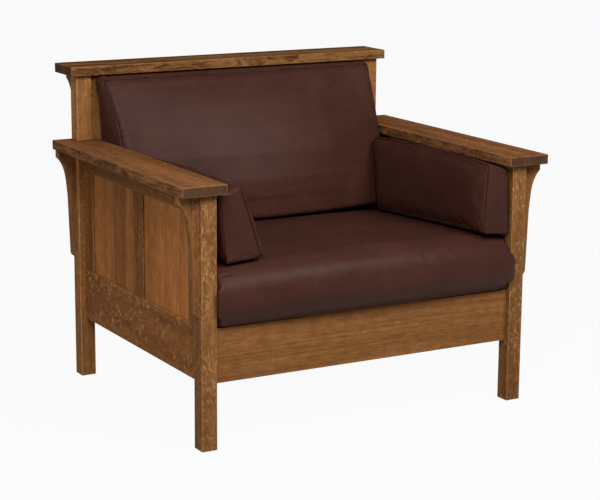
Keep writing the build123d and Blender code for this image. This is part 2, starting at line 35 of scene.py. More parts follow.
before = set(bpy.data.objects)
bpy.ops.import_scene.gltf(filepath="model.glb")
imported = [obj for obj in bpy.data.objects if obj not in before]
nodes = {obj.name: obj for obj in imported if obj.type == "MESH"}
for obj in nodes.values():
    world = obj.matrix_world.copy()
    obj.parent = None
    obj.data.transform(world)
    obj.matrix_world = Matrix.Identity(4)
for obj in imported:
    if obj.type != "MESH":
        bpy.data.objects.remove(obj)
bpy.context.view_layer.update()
scene = bpy.context.scene
rng = np.random.default_rng(5)
X, Y, Z = 0, 1, 2
mm = 0.001

# Places that the cushions are drawn from
leg_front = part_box("front_leg_left")[0].y
leg_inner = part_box("front_leg_right")[0].x
panel_setback = 5.5 * mm
back_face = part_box("back_panel_middle")[0].y - panel_setback
deck_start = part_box("front_apron")[1].y
deck_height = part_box("front_apron")[1].z
deck_rake = math.radians(3.2)
seat_thickness = 171.5 * mm


# Materials

def linear(code):
    """sRGB hex colour as linear red, green, blue and alpha."""
    c = np.array([int(code[i:i + 2], 16) for i in (1, 3, 5)]) / 255
    c = np.where(c <= 0.04045, c / 12.92, ((c + 0.055) / 1.055) ** 2.4)
    return (*c.tolist(), 1.0)


def add(tree, kind, inputs=(), stops=(), **settings):
    """Add a node. An input takes a value, or the output of another node to link from."""
    made = tree.nodes.new("ShaderNode" + kind)
    for name, value in settings.items():
        setattr(made, name, value)
    for name, value in dict(inputs).items():
        if isinstance(value, bpy.types.NodeSocket):
            tree.links.new(value, made.inputs[name])
        else:
            made.inputs[name].default_value = value
    for i, (place, colour) in enumerate(stops):
        ramp = made.color_ramp.elements
        stop = ramp[i] if i < len(ramp) else ramp.new(place)
        stop.position = place
        stop.color = linear(colour) if isinstance(colour, str) else (colour, colour, colour, 1)
    return made.outputs


def start(name):
    """New material with an empty tree."""
    made = bpy.data.materials.new(name)
    made.use_nodes = True
    made.node_tree.nodes.clear()
    return made, made.node_tree


# Quarter-sawn white oak, brown stain under satin lacquer: fine straight grain along the
# board, pale curling ray flecks on it, darker end grain, and arrises painted paler, as wear and as a
# painted highlight of the sheen on eased edges.
oak_dark = "#5F3A1D"
oak_mid = "#865831"
oak_light = "#A87646"
oak_fleck = "#C1925F"
oak_pore = "#3A2110"
oak_end = "#523F31"
# pale colour of the arrises: wear, and painted highlight of their sheen
oak_wear_and_sheen = "#B88C5E"


def oak(node, grain, face, tone=1.0, hue=(1, 1, 1), streak=0.3, band=0.4, flecks=0.5, fleck=(24, 7),
        lean=0.3, wander=20, flames=0.12, staves=()):
    """Oak with its grain along one axis; face is the axis that the wide side looks along.

    tone and hue scale the board's stain. streak is the contrast of the fine grain, band that
    of the broad bands, flecks that of the rays and flames that of the narrow edges. fleck is
    the spacing of the rays along and across the board in mm, and lean their slant in radians.
    wander is how far the grain strays in mm. staves are the tones of the strips that a wide
    board is glued from.
    """
    low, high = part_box(node)
    wide = X + Y + Z - grain - face
    made, tree = start("quartersawn_oak_" + node)
    place = add(tree, "TexCoord")
    split = add(tree, "SeparateXYZ", {0: place["Object"]})
    board = add(tree, "CombineXYZ", {0: split[grain], 1: split[wide], 2: split[face]})[0]
    shift = rng.uniform(-8, 8, 3).tolist()
    plank = add(tree, "Mapping", {"Vector": board, "Location": shift})[0]

    # the grain strays from straight over about 300 mm
    slow = add(tree, "Mapping", {"Vector": plank, "Scale": (3.3, 6, 6)})[0]
    swing = add(tree, "TexNoise", {"Vector": slow, "Scale": 1.0, "Detail": 2.0})["Color"]
    stray = wander * mm
    drift = add(tree, "VectorMath", {0: swing, 1: (0, stray, stray), 2: (0, -stray / 2, -stray / 2)},
                operation="MULTIPLY_ADD")[0]
    bent = add(tree, "VectorMath", {0: plank, 1: drift}, operation="ADD")[0]

    # growth rings 2 mm apart, drawn 5 mm apart so that they show; broad bands 40 mm wide
    layers = {}
    for name, scale, detail in (("rings", (1.8, 190, 60), 5.0), ("bands", (1.2, 26, 14), 2.0),
                                ("cloud", (28, 60, 60), 3.0), ("pores", (30, 560, 560), 2.0),
                                ("patches", (7, 22, 14), 1.0), ("rubs_and_sheen", (45, 45, 45), 3.0)):
        spot = add(tree, "Mapping", {"Vector": bent, "Scale": scale})[0]
        layers[name] = add(tree, "TexNoise", {"Vector": spot, "Scale": 1.0, "Detail": detail,
                                              "Roughness": 0.6})["Fac"]
    # a quarter-sawn board is flat-sawn on its narrow edges: slanting flames 40 to 80 mm long
    facing = add(tree, "SeparateXYZ", {0: place["Normal"]})
    narrow = add(tree, "Math", {0: facing[wide]}, operation="ABSOLUTE")[0]
    narrow = add(tree, "Math", {0: narrow, 1: 0.8}, operation="GREATER_THAN")[0]
    spot = add(tree, "Mapping", {"Vector": bent, "Rotation": (0, 0.3, 0), "Scale": (16, 40, 75)})[0]
    flame = add(tree, "TexNoise", {"Vector": spot, "Scale": 1.0, "Detail": 3.0,
                                   "Distortion": 1.2})["Fac"]
    flame = add(tree, "MapRange", {0: flame, 1: 0.25, 2: 0.75, 3: -flames, 4: flames})[0]
    flame = add(tree, "Math", {0: flame, 1: narrow}, operation="MULTIPLY")[0]
    depth = add(tree, "Math", {0: flame, 1: 0.5 - (streak + band + 0.3) / 2}, operation="ADD")[0]
    for name, weight in (("cloud", 0.3), ("bands", band), ("rings", streak)):
        depth = add(tree, "Math", {0: layers[name], 1: weight, 2: depth}, operation="MULTIPLY_ADD")[0]
    colour = add(tree, "ValToRGB", {0: depth}, ((0.3, oak_dark), (0.5, oak_mid), (0.7, oak_light)))[0]

    # open pores 0.3 mm wide and 10 to 30 mm long, drawn 1.8 mm wide
    pores = add(tree, "MapRange", {0: layers["pores"], 1: 0.55, 2: 0.68,
                                   3: 0.0, 4: 0.2 + 0.4 * streak})[0]
    colour = add(tree, "Mix", {0: pores, 6: colour, 7: linear(oak_pore)}, data_type="RGBA")[2]

    # ray flecks: the lines of equal height of a slanting noise, 2 to 4 mm wide, broken up
    long, short = fleck
    slant = add(tree, "Mapping", {"Vector": bent, "Rotation": (0.3, 0.2, lean * rng.choice((-1, 1))),
                                  "Scale": (long * mm, short * mm, short * mm)}, vector_type="TEXTURE")[0]
    curl = add(tree, "TexNoise", {"Vector": slant, "Scale": 1.0, "Detail": 1.0, "Distortion": 0.6})
    off = add(tree, "Math", {0: curl["Fac"], 1: 0.5}, operation="SUBTRACT")[0]
    off = add(tree, "Math", {0: off}, operation="ABSOLUTE")[0]
    line = add(tree, "MapRange", {0: off, 1: 0.02, 2: 0.08, 3: 1.0, 4: 0.0})[0]
    gate = add(tree, "TexNoise", {"Vector": slant, "Scale": 1.9, "Detail": 0.0})["Fac"]
    gate = add(tree, "MapRange", {0: gate, 1: 0.44, 2: 0.58, 3: 0.0, 4: 1.0})[0]
    dense = add(tree, "MapRange", {0: layers["patches"], 1: 0.36, 2: 0.6, 3: 0.25, 4: 1.0})[0]
    along = add(tree, "Math", {0: facing[grain]}, operation="ABSOLUTE")[0]
    ends = add(tree, "Math", {0: along, 1: 0.8}, operation="GREATER_THAN")[0]
    rays = add(tree, "Math", {0: 1.0, 1: ends}, operation="SUBTRACT")[0]
    for part in (line, gate, dense, flecks):
        rays = add(tree, "Math", {0: rays, 1: part}, operation="MULTIPLY")[0]
    colour = add(tree, "Mix", {0: rays, 6: colour, 7: linear(oak_fleck)}, data_type="RGBA")[2]

    # arrises, painted paler as wear and as a painted highlight: the second smallest distance from the
    # board's own faces is under 3 mm
    gaps = []
    for axis in (X, Y, Z):
        middle, half = (low[axis] + high[axis]) / 2, (high[axis] - low[axis]) / 2
        off = add(tree, "Math", {0: split[axis], 1: middle}, operation="SUBTRACT")[0]
        off = add(tree, "Math", {0: off}, operation="ABSOLUTE")[0]
        gaps.append(add(tree, "Math", {0: half, 1: off}, operation="SUBTRACT")[0])
    first = add(tree, "Math", {0: gaps[0], 1: gaps[1]}, operation="MINIMUM")[0]
    other = add(tree, "Math", {0: gaps[0], 1: gaps[1]}, operation="MAXIMUM")[0]
    other = add(tree, "Math", {0: other, 1: gaps[2]}, operation="MINIMUM")[0]
    second = add(tree, "Math", {0: first, 1: other}, operation="MAXIMUM")[0]
    arris_wear_and_sheen = add(tree, "MapRange", {0: second, 1: 3.2 * mm, 2: 1.0 * mm, 3: 0.0, 4: 0.55})[0]
    rubbed_sheen = add(tree, "MapRange", {0: layers["rubs_and_sheen"], 1: 0.35, 2: 0.6, 3: 0.3, 4: 1.0})[0]
    arris_wear_and_sheen = add(tree, "Math", {0: arris_wear_and_sheen, 1: rubbed_sheen}, operation="MULTIPLY")[0]
    ends = add(tree, "Math", {0: ends, 1: 0.8}, operation="MULTIPLY")[0]
    colour = add(tree, "Mix", {0: ends, 6: colour, 7: linear(oak_end)}, data_type="RGBA")[2]
    # the arrises lightened, partly wear and partly painted highlight
    colour = add(tree, "Mix", {0: arris_wear_and_sheen, 6: colour, 7: linear(oak_wear_and_sheen)}, data_type="RGBA")[2]

    # the stain of this board and of its strips, then the lacquer's gloss over the grain
    tint = tuple(c * tone for c in hue)
    colour = add(tree, "VectorMath", {0: colour, 1: tint}, operation="MULTIPLY")[0]
    if staves:
        share = add(tree, "MapRange", {0: split[wide], 1: low[wide], 2: high[wide],
                                       3: 0.0, 4: 1.0})[0]
        stops = [(i / len(staves), stave) for i, stave in enumerate(staves)]
        strips = add(tree, "ValToRGB", {0: share}, stops)
        strips[0].node.color_ramp.interpolation = "CONSTANT"
        colour = add(tree, "VectorMath", {0: colour, "Scale": strips[0]}, operation="SCALE")[0]
    rough = add(tree, "MapRange", {0: layers["rings"], 1: 0.35, 2: 0.65, 3: 0.5, 4: 0.36})[0]
    relief = add(tree, "Math", {0: layers["rings"], 1: pores}, operation="SUBTRACT")[0]
    bump = add(tree, "Bump", {"Height": relief, "Strength": 0.25, "Distance": 0.4 * mm})[0]
    shader = add(tree, "BsdfPrincipled", {
        "Base Color": colour, "Roughness": rough, "Normal": bump, "IOR": 1.5,
        "Specular IOR Level": 0.0, "Coat Weight": 0.055, "Coat Roughness": 0.24})
    add(tree, "OutputMaterial", {"Surface": shader[0]})
    return made


def leather():
    """Aniline-dyed cowhide with a fine pebble grain, mottled where the dye took unevenly, and with
    painted shade along its seams.
    """
    made, tree = start("aniline_cowhide")
    place = add(tree, "TexCoord")["Object"]
    seam = add(tree, "Attribute", attribute_name="seam_line")["Fac"]
    # the pebble grain is about 1.2 mm across, drawn 2.2 mm so that it shows; the dye clouds
    # over about 140 mm and is speckled over about 11 mm
    cells = add(tree, "TexVoronoi", {"Vector": place, "Scale": 450, "Randomness": 1.0},
                feature="SMOOTH_F1")["Distance"]
    cloud = add(tree, "TexNoise", {"Vector": place, "Scale": 7, "Detail": 5, "Roughness": 0.6})["Fac"]
    fine = add(tree, "TexNoise", {"Vector": place, "Scale": 90, "Detail": 4, "Roughness": 0.65})["Fac"]
    tint = add(tree, "ValToRGB", {0: cloud}, ((0.3, "#40241D"), (0.7, "#4B2C24")))[0]
    speck = add(tree, "MapRange", {0: fine, 1: 0.3, 2: 0.7, 3: 0.88, 4: 1.1})[0]
    # painted shade in the seam's groove: where the seam mask is full the colour falls to 0.4 of itself
    painted_seam_shade = add(tree, "MapRange", {0: seam, 1: 0.0, 2: 1.0, 3: 1.0, 4: 0.4})[0]
    both = add(tree, "Math", {0: speck, 1: painted_seam_shade}, operation="MULTIPLY")[0]
    tint = add(tree, "VectorMath", {0: tint, "Scale": both}, operation="SCALE")[0]
    rough = add(tree, "MapRange", {0: fine, 1: 0.3, 2: 0.7, 3: 0.36, 4: 0.46})[0]
    height = add(tree, "Math", {0: cells, 1: fine}, operation="ADD")[0]
    bump = add(tree, "Bump", {"Height": height, "Strength": 0.25, "Distance": 0.4 * mm})[0]
    shader = add(tree, "BsdfPrincipled", {
        "Base Color": tint, "Roughness": rough, "Normal": bump, "IOR": 1.47,
        "Specular IOR Level": 0.1})
    add(tree, "OutputMaterial", {"Surface": shader[0]})
    return made


def zinc_steel():
    """Zinc-plated, turned steel screws: a soft yellowish grey with fine turning marks."""
    made, tree = start("zinc_plated_steel")
    place = add(tree, "TexCoord")["Object"]
    # the marks lie 0.1 mm apart, drawn 1.1 mm apart so that they show
    marks = add(tree, "TexNoise", {"Vector": place, "Scale": 900, "Detail": 2})["Fac"]
    rough = add(tree, "MapRange", {0: marks, 1: 0.3, 2: 0.7, 3: 0.28, 4: 0.42})[0]
    tint = add(tree, "ValToRGB", {0: marks}, ((0.3, "#A8A296"), (0.7, "#C9C4B6")))[0]
    shader = add(tree, "BsdfPrincipled", {"Base Color": tint, "Metallic": 1.0, "Roughness": rough})
    add(tree, "OutputMaterial", {"Surface": shader[0]})
    return made


def seam_shade_thread():
    """Bonded nylon sewing thread with hardly any gloss, coloured near black as painted shade of the
    seam's fold.
    """
    made, tree = start("nylon_thread_as_seam_shade")
    place = add(tree, "TexCoord")["Object"]
    # the plies lie 0.4 mm apart, drawn 1.4 mm apart so that they show
    fibre = add(tree, "TexNoise", {"Vector": place, "Scale": 700, "Detail": 2})["Fac"]
    # near black: painted shade of the fold where the leather turns in
    tint = add(tree, "ValToRGB", {0: fibre}, ((0.3, "#140B09"), (0.7, "#261714")))[0]
    shader = add(tree, "BsdfPrincipled", {"Base Color": tint, "Roughness": 0.6,
                                          "Specular IOR Level": 0.1})
    add(tree, "OutputMaterial", {"Surface": shader[0]})
    return made


def paint(name, material):
    """Give a CAD piece its material."""
    mesh = nodes[name].data
    mesh.materials.clear()
    mesh.materials.append(material)


# Each board's grain axis, the axis that its wide face looks along, and its own look. The boards
# of the side frames are drawn redder than the rest.
reddish = (1, 0.9, 0.8)
boards = {
    "crest_rail": (X, Z, dict(tone=0.72, streak=0.7, band=1.2, flecks=0.3, wander=70, flames=0.34)),
    "front_apron": (X, Y, dict(tone=1.08, streak=0.35, band=0.2, flecks=0.15, fleck=(20, 4), lean=0.1)),
    "back_lower_rail": (X, Y, dict()),
    "back_upper_rail": (X, Y, dict()),
    "seat_bearer": (Y, X, dict(flecks=0.2)),
    "seat_slats": (X, Z, dict(flecks=0.2)),
    "back_panel_left": (Z, Y, dict(staves=(0.9, 0.78, 1.0), flecks=0.25)),
    "back_panel_middle": (Z, Y, dict(staves=(1.0, 0.85, 0.92), flecks=0.25)),
    "back_panel_right": (Z, Y, dict(staves=(0.8, 1.0, 0.86), flecks=0.25)),
}
paired_boards = {
    "back_stile": (Z, Y, dict()),
    "back_mullion": (Z, Y, dict()),
    "front_leg": (Z, X, dict(tone=0.92, band=0.35, flecks=0.75, fleck=(34, 9), flames=0.05)),
    "back_post": (Z, X, dict(tone=1.4, band=0.3, fleck=(30, 7), lean=0.6, flames=0.05)),
    "arm": (Y, Z, dict(tone=0.77, hue=(1, 0.94, 1.02), streak=0.45, band=0.6, fleck=(14, 5),
                       wander=50, flames=0.26)),
    "side_lower_rail": (Y, X, dict(tone=1.1, hue=reddish, streak=0.25, flecks=0.7, fleck=(34, 18),
                                   lean=0.7)),
    "side_upper_rail": (Y, X, dict(tone=0.8, hue=reddish, flecks=0.3)),
    "side_front_stile": (Z, X, dict(tone=0.95, hue=reddish, flecks=0.4)),
    "side_mullion": (Z, X, dict(tone=0.9, hue=reddish, fleck=(24, 10))),
    "side_back_stile": (Z, X, dict(tone=0.95, hue=reddish, flecks=0.45)),
    "side_front_panel": (Z, X, dict(tone=2.0, hue=reddish, streak=0.15, band=0.3, flecks=0.06,
                                    staves=(0.95, 1.0, 0.98, 0.8))),
    "side_back_panel": (Z, X, dict(tone=1.85, hue=reddish, streak=0.15, band=0.3, flecks=0.06,
                                   staves=(0.87, 0.64, 0.93, 1.0))),
    "front_arm_corbel": (Z, Y, dict(tone=0.95, flecks=0.25)),
    "back_arm_corbel": (Z, Y, dict(tone=0.9, flecks=0.25)),
    "crest_corbel": (Z, X, dict(flecks=0.3)),
    "seat_cleat": (Y, X, dict(flecks=0.2)),
    "front_corner_block": (X, Z, dict(flecks=0.2)),
    "back_corner_block": (X, Z, dict(flecks=0.2)),
}
for side in ("_left", "_right"):
    boards.update({name + side: board for name, board in paired_boards.items()})
for name, (grain, face, look) in boards.items():
    paint(name, oak(name, grain, face, **look))
screw_finish = zinc_steel()
for name in ("slat_screws", "cleat_screws", "corner_block_screws", "arm_screws", "crest_screws"):
    paint(name, screw_finish)
hide = leather()
# thread in the seams, near black as painted shade of their folds
thread = seam_shade_thread()


# Surfaces

def mesh_piece(name, points, faces, material):
    """Smooth-shaded piece from whole arrays of points and faces."""
    mesh = bpy.data.meshes.new(name)
    mesh.from_pydata(points.tolist(), [], faces.tolist())
    mesh.polygons.foreach_set("use_smooth", np.ones(len(mesh.polygons), bool))
    mesh.materials.append(material)
    made = bpy.data.objects.new(name, mesh)
    scene.collection.objects.link(made)
    return made


def points_of(mesh):
    """All vertex places of a mesh as one array."""
    flat = np.empty(len(mesh.vertices) * 3, np.float32)
    mesh.vertices.foreach_get("co", flat)
    return flat.reshape(-1, 3).astype(float)


def put_points(mesh, points):
    """Give a mesh's vertices new places."""
    mesh.vertices.foreach_set("co", points.astype(np.float32).ravel())
    mesh.update()


def normals_of(mesh):
    """The way that each vertex faces."""
    flat = np.empty(len(mesh.vertices) * 3, np.float32)
    mesh.vertex_normals.foreach_get("vector", flat)
    return flat.reshape(-1, 3).astype(float)


def edges_of(mesh):
    """The two vertex numbers of each edge."""
    flat = np.empty(len(mesh.edges) * 2, np.int32)
    mesh.edges.foreach_get("vertices", flat)
    return flat.reshape(-1, 2)


def unit(ways):
    """Each row scaled to length one."""
    return ways / np.maximum(np.linalg.norm(ways, axis=1), 1e-12)[:, None]


def relaxed(values, edges, rounds):
    """Values averaged with their neighbours along the edges, as often as asked."""
    size = len(values)
    share = 1 / np.maximum(np.bincount(edges.ravel(), minlength=size), 1)
    for _ in range(rounds):
        pulled = [np.bincount(edges[:, 0], values[edges[:, 1], k], size)
                  + np.bincount(edges[:, 1], values[edges[:, 0], k], size)
                  for k in range(values.shape[1])]
        values = (values + np.stack(pulled, 1) * share[:, None]) / 2
    return values


def settle_mesh(piece):
    """Replace a piece's mesh by what its modifiers make of it."""
    evaluated = piece.evaluated_get(bpy.context.evaluated_depsgraph_get())
    mesh = bpy.data.meshes.new_from_object(evaluated)
    piece.modifiers.clear()
    old, piece.data = piece.data, mesh
    mesh.name = piece.name
    bpy.data.meshes.remove(old)


def fill_piece(name, source, voxel):
    """Closed shell for a cushion, remeshed evenly from the foam that it will cover."""
    mesh = nodes[source].data.copy()
    shell = bmesh.new()
    shell.from_mesh(mesh)
    bmesh.ops.remove_doubles(shell, verts=shell.verts, dist=0.01 * mm)
    bmesh.ops.recalc_face_normals(shell, faces=shell.faces)
    shell.to_mesh(mesh)
    shell.free()
    mesh.name = name
    made = bpy.data.objects.new(name, mesh)
    scene.collection.objects.link(made)
    remesh = made.modifiers.new("even", "REMESH")
    remesh.mode = "VOXEL"
    remesh.voxel_size = voxel
    settle_mesh(made)
    made.data.materials.clear()
    made.data.materials.append(hide)
    return made


soft_hide = dict(quality=5, mass=0.4, tension_stiffness=15, compression_stiffness=15,
                 shear_stiffness=6, bending_stiffness=0.6)


def inflate(pieces, pressure, last_frame=20):
    """Blow closed shells up with the cloth solver, and return where their points went."""
    for piece in pieces:
        cloth = piece.modifiers.new("blown", "CLOTH")
        for name, value in soft_hide.items():
            setattr(cloth.settings, name, value)
        cloth.settings.use_pressure = True
        cloth.settings.uniform_pressure_force = pressure
        cloth.settings.effector_weights.gravity = 0
        cloth.collision_settings.use_collision = False
        cloth.point_cache.frame_start = 1
        cloth.point_cache.frame_end = last_frame
    for step in range(1, last_frame + 1):
        scene.frame_set(step)
    moved = {}
    for piece in pieces:
        evaluated = piece.evaluated_get(bpy.context.evaluated_depsgraph_get())
        moved[piece.name] = points_of(evaluated.data)
        piece.modifiers.clear()
    scene.frame_set(1)
    return moved


def between(value, low, high):
    """Zero below the low value, one above the high one, smooth between."""
    t = np.clip((value - low) / (high - low), 0, 1)
    return t * t * (3 - 2 * t)


fold_low, fold_high = -1.2 * mm, 0.8 * mm
calm_cap, free_cap = 2.0 * mm, 9.0 * mm


def capped(base, moved, normals, edges, cap):
    """Broad swelling held under the cap by a hyperbolic tangent, with the solver's fine folds
    kept on top of it, clipped, and the more the higher the cap is."""
    move = moved - base
    broad = relaxed(move, edges, 50)
    fine = move - broad
    out = (broad * normals).sum(1)
    rise = cap * np.tanh(np.maximum(out, 0) / np.maximum(cap, 0.1 * mm))
    folds = np.clip((fine * normals).sum(1), fold_low, fold_high) * between(cap, calm_cap, free_cap)
    return base + normals * (rise + folds)[:, None]


def faired(points, edges):
    """Gentle faces smoothed over about 30 mm; edges, which that would move over 1 mm, stay."""
    shift = relaxed(points, edges, 60) - points
    keep = 1 - between(np.linalg.norm(shift, axis=1), 0.4 * mm, 1.2 * mm)
    return points + shift * relaxed(keep[:, None], edges, 6)


def subdivided(piece):
    """One round of subdivision, applied, with smooth shading."""
    step = piece.modifiers.new("finer", "SUBSURF")
    step.levels = step.render_levels = 1
    settle_mesh(piece)
    piece.data.polygons.foreach_set("use_smooth", np.ones(len(piece.data.polygons), bool))


# Seams

def surface_tree(piece):
    """The piece's surface as a tree that rays and nearest points are found on."""
    return BVHTree.FromObject(piece, bpy.context.evaluated_depsgraph_get())


def hits(tree, starts, ways):
    """Where rays first meet the surface; rays that miss are left out."""
    found = [tree.ray_cast(Vector(a), Vector(b)) for a, b in zip(starts, ways)]
    return np.array([spot[0][:] for spot in found if spot[0] is not None])


def hits_along(tree, starts, way):
    """Where rays first meet the surface that all go the same way."""
    return hits(tree, starts, np.tile(np.array(way, float), (len(starts), 1)))


def loop_round(tree, centre, across, up, count=900):
    """Outline of the surface in a plane, from rays shot at the centre from all round."""
    outside = 1.5
    turn = np.linspace(0, 2 * np.pi, count, endpoint=False)[:, None]
    ways = np.cos(turn) * np.array(across)[None] + np.sin(turn) * np.array(up)[None]
    return hits(tree, np.array(centre)[None] + outside * ways, -ways)


def evened(loop, spacing, rounds):
    """Closed path with even spacing, smoothed a little."""
    closed = np.vstack([loop, loop[:1]])
    run = np.concatenate([[0], np.cumsum(np.linalg.norm(np.diff(closed, axis=0), axis=1))])
    places = np.linspace(0, run[-1], max(int(run[-1] / spacing), 12), endpoint=False)
    path = np.stack([np.interp(places, run, closed[:, k]) for k in range(3)], 1)
    for _ in range(rounds):
        path = (np.roll(path, 1, 0) + 2 * path + np.roll(path, -1, 0)) / 4
    return path


def distance_to(points, path):
    """Distance of each point from a path and the number of its nearest path point."""
    batch = 4000
    gap = np.empty(len(points))
    index = np.empty(len(points), int)
    for at in range(0, len(points), batch):
        part = points[at:at + batch]
        square = ((part ** 2).sum(1)[:, None] + (path ** 2).sum(1)[None] - 2 * part @ path.T)
        index[at:at + batch] = square.argmin(1)
        gap[at:at + batch] = np.sqrt(np.maximum(square.min(1), 0))
    return gap, index


def corners_of(path, normal):
    """The four corners of a closed path that lies across the given axis."""
    first, second = [axis for axis in (X, Y, Z) if axis != normal]
    middle = (path.min(0) + path.max(0)) / 2
    return [path[np.argmax(a * (path - middle)[:, first] + b * (path - middle)[:, second])]
            for a in (-1, 1) for b in (-1, 1)]


# How the leather is drawn in along a seam, round its groove, in gathers and at the corners, and how wide
# the painted shade along it is
draw_reach = 28 * mm
groove_depth, groove_width = 1.6 * mm, 3.0 * mm
gather_height, gather_pitch, gather_fade = 0.7 * mm, 23 * mm, 14 * mm
fold_height, fold_place, fold_reach = 0.84 * mm, 14 * mm, 60 * mm
seam_shade_width = 1.8 * mm


def sewn(piece, paths, normal, sink):
    """Draw the leather in along its seams.

    Across a seam the surface curves down as the square of what is left of the draw's reach, to
    a round groove. Along it shallow gathers, a sine of the length with slower ones on it, fade
    away from the seam. Round each corner small folds, two cosines of the angle, are highest at
    their place and fade beyond it.
    """
    points = points_of(piece.data)
    facing = normals_of(piece.data)
    line = np.zeros(len(points))
    rise = np.zeros(len(points))
    for path in paths:
        gap, index = distance_to(points, path)
        along = index * np.linalg.norm(path[1] - path[0])
        stray = 1.7 * np.sin(along / (83 * mm))
        waves = np.sin(2 * np.pi * along / gather_pitch + stray) * np.sin(along / (131 * mm) + 1)
        rise += gather_height * waves * np.exp(-gap / gather_fade) * between(gap, 1 * mm, 8 * mm)
        rise -= sink * np.clip(1 - gap / draw_reach, 0, 1) ** 2
        rise -= groove_depth * np.exp(-(gap / groove_width) ** 2)
        # mask of the painted shade along the seam, about 1.8 mm wide
        line = np.maximum(line, np.exp(-(gap / seam_shade_width) ** 2))
        for corner in corners_of(path, normal):
            off = points - corner
            reach = np.linalg.norm(off, axis=1)
            near = reach < fold_reach
            outward = unit(facing[near].mean(0)[None])[0]
            sideways = unit(np.cross(outward, (0.3, 0.5, 0.8))[None])[0]
            angle = np.arctan2(off[near] @ np.cross(outward, sideways), off[near] @ sideways)
            share = reach[near] / fold_place
            ripple = np.cos(7 * angle + 1.3) + 0.5 * np.cos(11 * angle)
            height = fold_height * share * np.exp(1 - share) * between(gap[near], 1 * mm, 6 * mm)
            rise[near] += ripple * height
    put_points(piece.data, points + facing * rise[:, None])
    # the mask goes to the leather's colour, which paints shade along the seam with it
    mark = piece.data.attributes.new("seam_line", "FLOAT", "POINT")
    mark.data.foreach_set("value", line.astype(np.float32))


def seam_shade_cord(name, paths, tree, radius=0.7 * mm, sides=6):
    """Thread in the seams, near black as painted shade of their folds: a circle carried round each closed
    path, half sunk in the leather.

    The real thread is about 0.6 mm thick; it is drawn 1.4 mm thick so that it shows.
    """
    points, faces, base = [], [], 0
    for path in paths:
        found = [tree.find_nearest(Vector(p)) for p in path]
        spots = np.array([f[0][:] for f in found])
        facing = np.array([f[1][:] for f in found])
        for _ in range(3):
            spots = (np.roll(spots, 1, 0) + 2 * spots + np.roll(spots, -1, 0)) / 4
            facing = (np.roll(facing, 1, 0) + facing + np.roll(facing, -1, 0)) / 3
        ahead = unit(np.roll(spots, -1, 0) - np.roll(spots, 1, 0))
        facing = unit(facing - (facing * ahead).sum(1)[:, None] * ahead)
        beside = np.cross(ahead, facing)
        turn = np.linspace(0, 2 * np.pi, sides, endpoint=False)[None, :, None]
        ring = (np.cos(turn) * facing[:, None] + np.sin(turn) * beside[:, None]) * radius
        points.append((spots[:, None] + ring).reshape(-1, 3))
        count = len(spots)
        i, j = np.meshgrid(np.arange(count), np.arange(sides), indexing="ij")
        i2, j2 = (i + 1) % count, (j + 1) % sides
        quad = np.stack([i * sides + j, i2 * sides + j, i2 * sides + j2, i * sides + j2], -1)
        faces.append(quad.reshape(-1, 4) + base)
        base += count * sides
    return mesh_piece(name, np.vstack(points), np.vstack(faces), thread)


# Cushions

seat = fill_piece("seat_cushion", "seat_cushion_core", 8 * mm)
back = fill_piece("back_cushion", "back_cushion_core", 6.5 * mm)
bolster_right = fill_piece("bolster_right", "right_bolster_core", 5 * mm)
bolster_left = fill_piece("bolster_left", "left_bolster_core", 5 * mm)
cushions = [seat, back, bolster_right, bolster_left]

rides = {"seat_cushion": "seat_cushion", "back_cushion": "back_cushion",
         "bolster_right": "right_bolster", "bolster_left": "left_bolster"}

# How far each cushion may swell past its solid, and how far from the middle plane
seat_swell, back_swell, bolster_swell = 5 * mm, 4 * mm, 9 * mm
seat_swell_half, back_swell_half = 0.41, 0.33


def seat_room(points, facing):
    """The seat may swell at its nose alone, ahead of the legs and clear of its end seams."""
    nose = between(leg_front + 25 * mm - points[:, 1], 0, 30 * mm)
    clear = between(seat_swell_half - np.abs(points[:, 0]), 0, 0.05)
    return seat_swell * nose * between(-facing[:, 1], -0.2, 0.5) * clear


def back_room(points, facing):
    """The back cushion may swell over the middle of its face."""
    middle = between(back_swell_half - np.abs(points[:, 0]), 0, 0.15)
    return back_swell * middle * between(-facing[:, 1], 0.3, 0.8)


def bolster_room(points, facing):
    """A bolster may swell on its front end and on the side that looks at the seat.

    The swell rises from each rim as a quarter of a sine, over a reach of its own.
    """
    low, high = points.min(0), points.max(0)
    inward = between(-facing[:, 0] * np.sign(points[:, 0].mean()), 0.5, 0.9)
    ahead = between(-facing[:, 1], 0.5, 0.95)
    for axis, reach in ((X, 50 * mm), (Y, 28 * mm), (Z, 70 * mm)):
        rim = np.minimum(points[:, axis] - low[axis], high[axis] - points[:, axis])
        rise = np.sin(np.clip(rim / reach, 0, 1) * np.pi / 2)
        inward = inward * (rise if axis != X else 1)
        ahead = ahead * (rise if axis != Y else 1)
    return bolster_swell * (inward + ahead)


def outside_of(name, points, facing):
    """The cover's outer face over each point, found by a ray shot back at the point.

    A point whose ray misses goes outwards by the cover's usual distance from its core.
    """
    reach, usual = 15 * mm, 2 * mm
    cover = nodes[name].data
    tree = BVHTree.FromPolygons(points_of(cover).tolist(), [tuple(p.vertices) for p in cover.polygons])
    placed = points + facing * usual
    for i, (spot, way) in enumerate(zip(points, facing)):
        hit = tree.ray_cast(Vector(spot + way * reach), Vector(-way), reach)[0]
        if hit is not None:
            placed[i] = hit
    return placed


